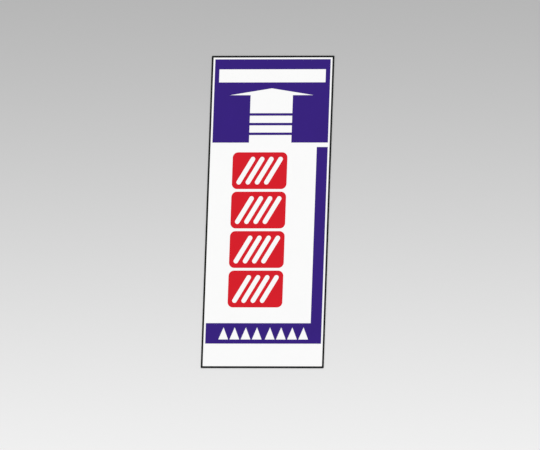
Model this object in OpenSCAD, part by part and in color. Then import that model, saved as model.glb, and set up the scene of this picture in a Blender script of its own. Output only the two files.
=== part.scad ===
// Flat road marking decal: a white sheet with coloured films laid on its face.
// X runs across the sheet, +Y towards its top edge and +Z out of the printed face.
// The origin is the middle of the underside, which lies on the ground.

/* [Sheet] */
// Width of the sheet from side to side
sheet_w = 550; // [500:5:700]
// Length of the sheet from foot to top
sheet_h = 1400; // [1350:5:1600]
// Thickness of the sheet
sheet_t = 1.6; // [1:0.1:3]
// Radius of the sheet's four corners
corner_r = 3; // [2:0.5:6]

/* [Films] */
// Thickness of the coloured films
film_t = 0.3; // [0.2:0.1:0.6]
// Width of the black line along the sheet's edge
edge_line_w = 8; // [5:0.5:10]
// White strip between the edge line and the violet fields
margin_w = 8; // [5:0.5:14]

/* [Header field] */
// Height of the header field
header_h = 374.5; // [360:0.5:390]
// Height of the white bar
bar_h = 59; // [50:1:65]
// Violet strip above the white bar
bar_top_gap = 45; // [35:1:50]
// Violet strip at each end of the white bar
bar_end_gap = 20; // [12:1:30]
// Violet strip between the white bar and the arrow's tip
arrow_gap = 26.5; // [16:0.5:30]
// Width of the arrow's head from wing to wing
arrow_head_w = 378; // [340:2:420]
// Height of the arrow's head
arrow_head_h = 31; // [28:0.5:42]
// Width of the arrow's shaft
shaft_w = 190; // [160:1:220]
// Number of violet lines across the shaft
tail_lines = 3; // [1:1:3]
// Thickness of each line across the shaft
tail_line_h = 11; // [6:0.5:12]
// Distance from one line to the next
tail_line_pitch = 43.5; // [36:0.5:46]
// Height of the lowest line's middle above the header's lower edge
tail_line_rise = 39.5; // [30:0.5:50]

/* [Corner band] */
// White strip between the header and the upright band
band_gap = 20; // [14:1:30]
// Width of the upright band
band_w = 49; // [40:1:60]
// Height of the foot band
foot_h = 91.5; // [80:0.5:110]
// Height of the foot band's lower edge above the sheet's foot
foot_rise = 109; // [90:1:130]

/* [Foot teeth] */
// Number of white teeth in each of the two groups
teeth = 4; // [2:1:4]
// Violet strip between the feet of one tooth and the next
tooth_gap = 6; // [4:0.5:10]
// Violet strip between the two groups
group_gap = 14; // [10:1:30]
// Violet strip above and below the teeth
teeth_edge_gap = 18.5; // [14:0.5:24]
// Violet strip between the teeth and each end of the foot band
teeth_end_gap = 58; // [50:1:80]

/* [Red blocks] */
// Number of red blocks in the column
blocks = 4; // [3:1:4]
// Width of each red block
block_w = 245; // [220:1:270]
// Radius of each block's corners
block_r = 24; // [12:1:36]
// White strip between one block and the next
block_gap = 12; // [8:1:20]
// White strip between the left ends of the violet fields and the column
column_side_gap = 94; // [70:1:110]
// White strip between the header and the highest block
column_top_gap = 43.5; // [30:0.5:60]
// White strip between the foot band and the lowest block
column_foot_gap = 70.5; // [50:0.5:90]

/* [Stripes] */
// Number of slanted white stripes in each block
stripes = 4; // [2:1:4]
// Width of each stripe
stripe_w = 21; // [14:1:24]
// Slope of the stripes, in degrees from the level
stripe_slope = 60; // [55:1:75]
// Red strip between the stripes and each side of the block
stripe_side_gap = 20; // [14:0.5:26]
// Red strip above and below the stripes
stripe_end_gap = 20; // [14:0.5:26]

/* [Hidden] */
$fn = 64;

white = [0.99, 0.99, 0.98];
black = [0.07, 0.08, 0.07];
violet = [0.22, 0.14, 0.49];
red = [0.84, 0.13, 0.17];

// The violet fields keep this far from the sheet's edge
field_edge = edge_line_w + margin_w;
field_w = sheet_w - 2 * field_edge;
field_left = -field_w / 2;
field_right = field_w / 2;

header_top = sheet_h / 2 - field_edge;
header_foot = header_top - header_h;
bar_foot = header_top - bar_top_gap - bar_h;
arrow_tip = bar_foot - arrow_gap;
arrow_wing = arrow_tip - arrow_head_h;

foot_low = foot_rise - sheet_h / 2;
foot_top = foot_low + foot_h;
band_top = header_foot - band_gap;
group_w = (field_w - 2 * teeth_end_gap - group_gap) / 2;
tooth_pitch = (group_w + tooth_gap) / teeth;
tooth_w = tooth_pitch - tooth_gap;
tooth_h = foot_h - 2 * teeth_edge_gap;

// The blocks share the height that the header and the foot band leave
column_foot = foot_top + column_foot_gap;
column_h = header_foot - column_top_gap - column_foot;
column_x = field_left + column_side_gap + block_w / 2;
block_pitch = (column_h + block_gap) / blocks;
block_h = block_pitch - block_gap;

// Rise and run of each stripe, from the centre of its lower round end to that of its upper one
stripe_rise = block_h - 2 * stripe_end_gap - stripe_w;
stripe_run = stripe_rise / tan(stripe_slope);
stripe_left = stripe_side_gap + stripe_w / 2 - block_w / 2;
stripe_pitch = (-2 * stripe_left - stripe_run) / (stripes - 1);

// Rectangle about the origin, with round corners
module rounded_rectangle(w, h, r) {
    square([w - 2 * r, h], center = true);
    square([w, h - 2 * r], center = true);
    for (x = [-1, 1], y = [-1, 1])
        translate([x * (w / 2 - r), y * (h / 2 - r)])
            circle(r);
}

// Straight stroke along +X from the origin, with round ends about its two end points
module stroke(run, width) {
    translate([0, -width / 2])
        square([run, width]);
    for (x = [0, run])
        translate([x, 0])
            circle(width / 2);
}

// Film of even thickness that lies on the sheet's face
module film() {
    translate([0, 0, sheet_t])
        linear_extrude(film_t)
            children();
}

module arrow() {
    polygon([
        [0, arrow_tip],
        [arrow_head_w / 2, arrow_wing],
        [shaft_w / 2, arrow_wing],
        [shaft_w / 2, header_foot],
        [-shaft_w / 2, header_foot],
        [-shaft_w / 2, arrow_wing],
        [-arrow_head_w / 2, arrow_wing]
    ]);
}

module shaft_lines() {
    for (i = [0 : tail_lines - 1])
        translate([0, header_foot + tail_line_rise + i * tail_line_pitch])
            square([shaft_w, tail_line_h], center = true);
}

// Row of teeth that point up, from left to right, with its lower left corner at the origin
module tooth_row() {
    for (i = [0 : teeth - 1])
        translate([i * tooth_pitch, 0])
            polygon([[0, 0], [tooth_w, 0], [tooth_w / 2, tooth_h]]);
}

// Slanted stripes side by side, with the middle of the row at the origin
module stripe_row() {
    for (i = [0 : stripes - 1])
        translate([stripe_left + i * stripe_pitch, -stripe_rise / 2])
            rotate(stripe_slope)
                stroke(norm([stripe_run, stripe_rise]), stripe_w);
}

module sheet() {
    color(white)
        linear_extrude(sheet_t)
            rounded_rectangle(sheet_w, sheet_h, corner_r);
}

module edge_line() {
    color(black)
        film()
            difference() {
                rounded_rectangle(sheet_w, sheet_h, corner_r);
                square([sheet_w - 2 * edge_line_w, sheet_h - 2 * edge_line_w], center = true);
            }
}

module header_field() {
    color(violet)
        film()
            difference() {
                translate([field_left, header_foot])
                    square([field_w, header_h]);
                translate([field_left + bar_end_gap, bar_foot])
                    square([field_w - 2 * bar_end_gap, bar_h]);
                difference() {
                    arrow();
                    shaft_lines();
                }
            }
}

module corner_band() {
    color(violet)
        film()
            difference() {
                union() {
                    translate([field_left, foot_low])
                        square([field_w, foot_h]);
                    translate([field_right - band_w, foot_low])
                        square([band_w, band_top - foot_low]);
                }
                for (x = [-group_gap / 2 - group_w, group_gap / 2])
                    translate([x, foot_low + teeth_edge_gap])
                        tooth_row();
            }
}

// The blocks are counted from the foot of the column
module red_block(i) {
    color(red)
        film()
            translate([column_x, column_foot + block_h / 2 + (i - 1) * block_pitch])
                difference() {
                    rounded_rectangle(block_w, block_h, block_r);
                    stripe_row();
                }
}

sheet();
edge_line();
header_field();
corner_band();
for (i = [1 : blocks])
    red_block(i);
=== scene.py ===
"""Looks of a flat road marking decal: camera, light, floor, and a finish for the sheet and its films.

Lengths are in metres.
"""

import math

import bpy
from mathutils import Matrix, Vector


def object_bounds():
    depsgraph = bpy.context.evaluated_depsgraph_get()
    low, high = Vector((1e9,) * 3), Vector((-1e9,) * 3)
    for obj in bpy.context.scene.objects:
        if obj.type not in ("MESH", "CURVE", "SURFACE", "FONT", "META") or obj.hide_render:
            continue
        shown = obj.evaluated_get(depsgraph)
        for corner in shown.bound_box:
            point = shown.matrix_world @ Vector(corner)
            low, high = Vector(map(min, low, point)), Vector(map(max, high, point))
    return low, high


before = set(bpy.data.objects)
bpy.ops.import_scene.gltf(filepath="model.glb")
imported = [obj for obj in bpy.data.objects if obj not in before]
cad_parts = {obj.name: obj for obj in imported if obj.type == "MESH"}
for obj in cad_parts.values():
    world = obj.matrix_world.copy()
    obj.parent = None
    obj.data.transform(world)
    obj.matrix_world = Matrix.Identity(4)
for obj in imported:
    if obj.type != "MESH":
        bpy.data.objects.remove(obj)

cad_low, cad_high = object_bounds()
scene = bpy.context.scene

# The picture shows the upright face as a parallelogram with no perspective. A far camera with a
# long lens sees the sheet so when it looks down from off the sheet's lower right corner.
IMAGE_W = 540
IMAGE_CENTRE_PX = (270.0, 225.0)
SHEET_CENTRE_PX = (267.7, 211.62)
# Pixels to a metre of the sheet, and how far its upright edges lean to the right in each metre
PX_PER_M = 223.14
SLANT = 0.03535
CAMERA_DISTANCE = 70.0
CAMERA_REACH = 140.0

# An even fill and a soft lamp, each as the share of full light that it gives a level surface.
# The white of the sheet renders just under full white.
FILL = 0.64
LAMP_SHARE = 0.38
SKY = (1.0, 1.0, 1.0)
# How high the lamp stands, its turn from the sheet's top towards its right, and how wide it spreads
LAMP_ELEVATION = math.radians(48)
LAMP_AZIMUTH = math.radians(40)
LAMP_SOFTNESS = math.radians(25)

# Floor tones as they look on screen, from 0 to 1, in front of the sheet's foot and behind its top,
# and the places along Y between which one turns into the other
FLOOR_TONES = (0.97, 0.644)
FLOOR_RAMP = (-1.94, 2.02)
SCREEN_GAMMA = 2.2
FLOOR_SIZE = 40.0
# The floor lies this far below the sheet, so that their faces never coincide
FLOOR_DROP = 0.0002
FLOOR_ROUGHNESS = 0.9
FLOOR_GLOSS = 0.1

# Colours, in linear light. The adhesive side is mottled between two greys.
WHITE = (0.946, 0.946, 0.944)
ADHESIVE = ((0.52, 0.51, 0.48), (0.44, 0.43, 0.40))
BLACK = (0.0035, 0.0048, 0.0042)
VIOLET = (0.0304, 0.0077, 0.1921)
RED = (0.650, 0.0054, 0.0151)
OPAQUE = 1.0

# Each layer of noise: features to a metre, levels of finer detail, and how strong those levels are
CLOUDS = (9, 3, 0.5)
PATCHES = (120, 2, 0.5)
GRAIN = (1100, 2, 0.6)
# Most of a noise lies between these two values
NOISE_MIDDLE = (0.3, 0.7)
# Height of the non-slip grain
GRAIN_DEPTH = 0.00028
# Shares by which the clouds lighten and darken a colour, and by which the grain darkens the colour in its
# pits and lightens it on its crests: partly pigment speckle, partly painted shade in the pits and painted
# highlight on the crests
FILM_MOTTLE = 0.03
FILM_SPECKLE_AND_GRAIN_SHADE = 0.05
SHEET_MOTTLE = 0.004
SHEET_SPECKLE_AND_GRAIN_SHADE = 0.01
# Gloss: its strength, its roughness, and how far the roughness wanders
GLOSS = 0.15
ROUGHNESS = 0.6
UNEVEN = 0.04
# The printed face's normal rises by more than this, and the underside's falls by more
STEEP = 0.5


def feed(tree, socket, value):
    """Gives a socket its value, which is another socket or plain."""
    if isinstance(value, bpy.types.NodeSocket):
        tree.links.new(value, socket)
    else:
        socket.default_value = value


def math_node(tree, operation, first, second):
    """Value of a maths operation on sockets or plain numbers."""
    node = tree.nodes.new("ShaderNodeMath")
    node.operation = operation
    for socket, value in zip(node.inputs, (first, second)):
        feed(tree, socket, value)
    return node.outputs["Value"]


def map_range(tree, value, source, target, interpolation="LINEAR"):
    """A value mapped from the source range to the target range, and held within it."""
    node = tree.nodes.new("ShaderNodeMapRange")
    node.interpolation_type = interpolation
    node.inputs["From Min"].default_value, node.inputs["From Max"].default_value = source
    node.inputs["To Min"].default_value, node.inputs["To Max"].default_value = target
    feed(tree, node.inputs["Value"], value)
    return node.outputs["Result"]


def swing(tree, noise, middle, reach):
    """A noise stretched to run from reach below the middle to reach above it."""
    return map_range(tree, noise, NOISE_MIDDLE, (middle - reach, middle + reach))


def axis(tree, vector, name):
    """One axis of a vector."""
    node = tree.nodes.new("ShaderNodeSeparateXYZ")
    feed(tree, node.inputs["Vector"], vector)
    return node.outputs[name]


def noise_layer(tree, place, per_metre, detail, roughness):
    """Noise from 0 to 1 with about that many features to a metre."""
    node = tree.nodes.new("ShaderNodeTexNoise")
    node.inputs["Scale"].default_value = per_metre
    node.inputs["Detail"].default_value = detail
    node.inputs["Roughness"].default_value = roughness
    feed(tree, node.inputs["Vector"], place)
    return node.outputs["Fac"]


def mix_colour(tree, factor, first, second):
    """Mix of two colours, each a socket or a plain colour."""
    node = tree.nodes.new("ShaderNodeMix")
    node.data_type = "RGBA"
    feed(tree, node.inputs["Factor"], factor)
    sockets = [socket for socket in node.inputs if socket.type == "RGBA"]
    for socket, colour in zip(sockets, (first, second)):
        plain = isinstance(colour, tuple)
        feed(tree, socket, (*colour, OPAQUE) if plain else colour)
    return next(socket for socket in node.outputs if socket.type == "RGBA")


def shaded(tree, colour, shade):
    """A colour, socket or plain, made darker or lighter by a shade about 1."""
    node = tree.nodes.new("ShaderNodeVectorMath")
    node.operation = "SCALE"
    feed(tree, node.inputs["Vector"], colour)
    feed(tree, node.inputs["Scale"], shade)
    return node.outputs["Vector"]


def by_face(tree, normal, printed, sides, underside):
    """Colour of the printed face, the cut sides or the underside, as the surface points."""
    rise = axis(tree, normal, "Z")
    upper = mix_colour(tree, math_node(tree, "LESS_THAN", rise, STEEP), printed, sides)
    return mix_colour(tree, math_node(tree, "LESS_THAN", rise, -STEEP), upper, underside)


def new_material(name):
    """A node material with its tree, its shader and the node that gives places on the surface."""
    material = bpy.data.materials.new(name)
    material.use_nodes = True
    tree = material.node_tree
    return material, tree, tree.nodes["Principled BSDF"], tree.nodes.new("ShaderNodeTexCoord")


def film_material(name, colour, mottle=FILM_MOTTLE, speckle_and_grain_shade=FILM_SPECKLE_AND_GRAIN_SHADE, sides=None, underside=None):
    """Semi-matte finish with a fine non-slip grain, faint mottling and uneven gloss, and with painted
    shade in the grain's pits and painted highlight on its crests.
    """
    material, tree, shader, place = new_material(name)
    clouds = noise_layer(tree, place.outputs["Object"], *CLOUDS)
    patches = noise_layer(tree, place.outputs["Object"], *PATCHES)
    grain = noise_layer(tree, place.outputs["Object"], *GRAIN)

    if underside:
        greys = mix_colour(tree, map_range(tree, clouds, NOISE_MIDDLE, (0, 1)), *underside)
        colour = by_face(tree, place.outputs["Normal"], colour, sides, greys)
    # The grain darkens the colour in its pits and lightens it on its crests: painted shade and painted
    # highlight over a pigment speckle
    shade = math_node(tree, "MULTIPLY", swing(tree, clouds, 1, mottle), swing(tree, grain, 1, speckle_and_grain_shade))
    feed(tree, shader.inputs["Base Color"], shaded(tree, colour, shade))

    rough = math_node(tree, "ADD", swing(tree, clouds, ROUGHNESS, UNEVEN), swing(tree, patches, 0, UNEVEN))
    feed(tree, shader.inputs["Roughness"], rough)
    shader.inputs["Specular IOR Level"].default_value = GLOSS

    bump = tree.nodes.new("ShaderNodeBump")
    bump.inputs["Distance"].default_value = GRAIN_DEPTH
    feed(tree, bump.inputs["Height"], grain)
    feed(tree, shader.inputs["Normal"], bump.outputs["Normal"])
    return material


def dress(nodes, material):
    """Makes a material the only one on each of the named nodes."""
    for name in nodes:
        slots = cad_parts[name].data.materials
        slots.clear()
        slots.append(material)


def photo_camera():
    """A far camera whose view slants the upright face as the picture does."""
    # A point x, y of the sheet shows at (x + SLANT * y, y) / stretch, along right and up.
    # Only at this stretch are those two directions of length 1 and square to each other.
    stretch = (math.sqrt(SLANT ** 2 + 4) + SLANT) / 2
    right = Vector((1 / stretch, SLANT / stretch, 0))
    up = Vector((0, 1 / stretch, 0))
    right.z = -math.sqrt(1 - right.length_squared)
    up.z = math.sqrt(1 - up.length_squared)
    back = right.cross(up)

    px_per_m = PX_PER_M * stretch
    aim = (cad_low + cad_high) / 2
    aim += right * ((IMAGE_CENTRE_PX[0] - SHEET_CENTRE_PX[0]) / px_per_m)
    aim -= up * ((IMAGE_CENTRE_PX[1] - SHEET_CENTRE_PX[1]) / px_per_m)

    data = bpy.data.cameras.new("camera")
    data.lens = data.sensor_width * CAMERA_DISTANCE * px_per_m / IMAGE_W
    data.clip_end = CAMERA_REACH
    camera = bpy.data.objects.new("camera", data)
    turn = Matrix((right, up, back)).transposed().to_4x4()
    camera.matrix_world = Matrix.Translation(aim + back * CAMERA_DISTANCE) @ turn
    scene.collection.objects.link(camera)
    scene.camera = camera


def soft_light():
    """A wide lamp from the upper right, over an even fill from all round."""
    data = bpy.data.lights.new("lamp", "SUN")
    data.angle = LAMP_SOFTNESS
    data.energy = math.pi * LAMP_SHARE / math.sin(LAMP_ELEVATION)
    lamp = bpy.data.objects.new("lamp", data)
    lamp.rotation_euler = (math.pi / 2 - LAMP_ELEVATION, 0, math.pi - LAMP_AZIMUTH)
    scene.collection.objects.link(lamp)

    world = bpy.data.worlds.new("studio")
    world.use_nodes = True
    background = world.node_tree.nodes["Background"]
    background.inputs["Color"].default_value = (*SKY, OPAQUE)
    background.inputs["Strength"].default_value = FILL
    scene.world = world


def floor_material():
    """Matte grey that darkens smoothly from in front of the sheet's foot to behind its top."""
    material, tree, shader, place = new_material("floor")
    along = axis(tree, place.outputs["Object"], "Y")
    tone = map_range(tree, along, FLOOR_RAMP, FLOOR_TONES, "SMOOTHSTEP")
    grey = math_node(tree, "POWER", tone, SCREEN_GAMMA)
    mixed = tree.nodes.new("ShaderNodeCombineColor")
    for channel in mixed.inputs:
        feed(tree, channel, grey)
    feed(tree, shader.inputs["Base Color"], mixed.outputs["Color"])
    shader.inputs["Roughness"].default_value = FLOOR_ROUGHNESS
    shader.inputs["Specular IOR Level"].default_value = FLOOR_GLOSS
    return material


def pale_floor():
    """One wide plain face under the sheet."""
    half = FLOOR_SIZE / 2
    corners = [(-half, -half), (half, -half), (half, half), (-half, half)]
    mesh = bpy.data.meshes.new("floor")
    mesh.from_pydata([(x, y, -FLOOR_DROP) for x, y in corners], [], [(0, 1, 2, 3)])
    mesh.materials.append(floor_material())
    floor = bpy.data.objects.new("floor", mesh)
    scene.collection.objects.link(floor)


photo_camera()
soft_light()
pale_floor()

dress(["sheet"], film_material("white_sheet", WHITE, SHEET_MOTTLE, SHEET_SPECKLE_AND_GRAIN_SHADE, BLACK, ADHESIVE))
dress(["edge_line"], film_material("black_film", BLACK))
dress(["header_field", "corner_band"], film_material("violet_film", VIOLET))
blocks = sorted(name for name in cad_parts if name.startswith("red_block"))
dress(blocks, film_material("red_film", RED))

scene.view_settings.view_transform = "Standard"
